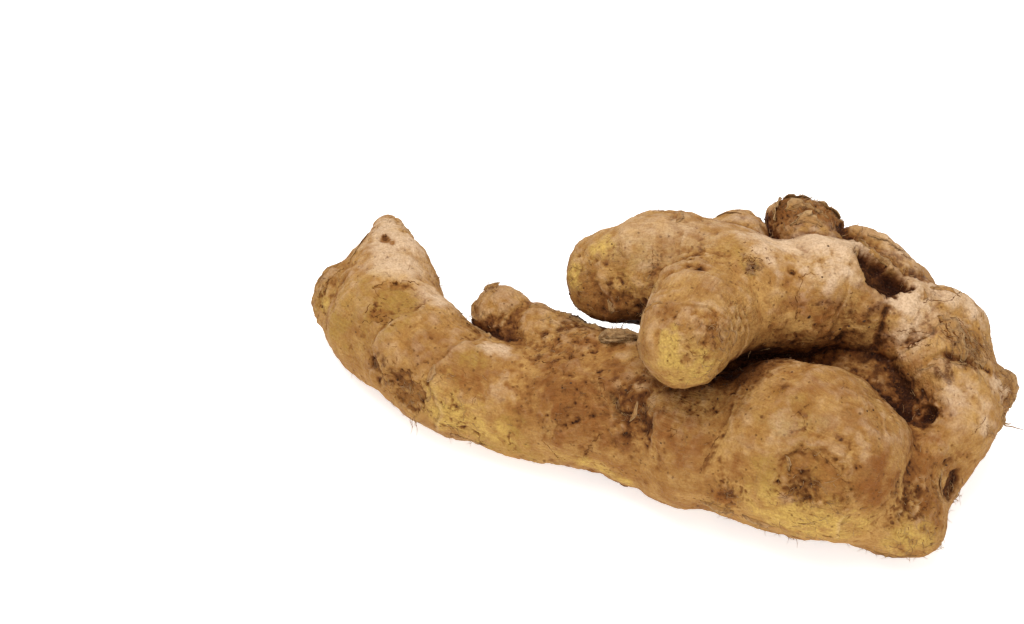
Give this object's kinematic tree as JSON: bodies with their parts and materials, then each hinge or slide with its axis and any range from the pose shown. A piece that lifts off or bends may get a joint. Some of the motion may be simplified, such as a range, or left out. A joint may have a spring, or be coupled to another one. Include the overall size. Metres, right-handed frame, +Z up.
{
  "type": "ginger root",
  "caption": "Fresh ginger root lying flat: one knobbly branched rhizome with a thick trunk, a raised arm folded back over it, and stubby fingers and buds.",
  "frame": {"origin": "centre of the bounding box, on the surface that the root lies on", "axes": "+X along the trunk towards its broken end, +Y away from the side that is mostly seen, +Z up"},
  "size_m": [0.1744, 0.1098, 0.0583],
  "materials": {
    "skin": "matt tan skin with dry brown rings, yellow bruises and soil in the creases",
    "dry_fibre": "dry papery scales and thin dead rootlets",
    "soil": "dry dark soil crumbs"
  },
  "bodies": {
    "root": {"rhizome": "skin"}
  },
  "joints": []
}
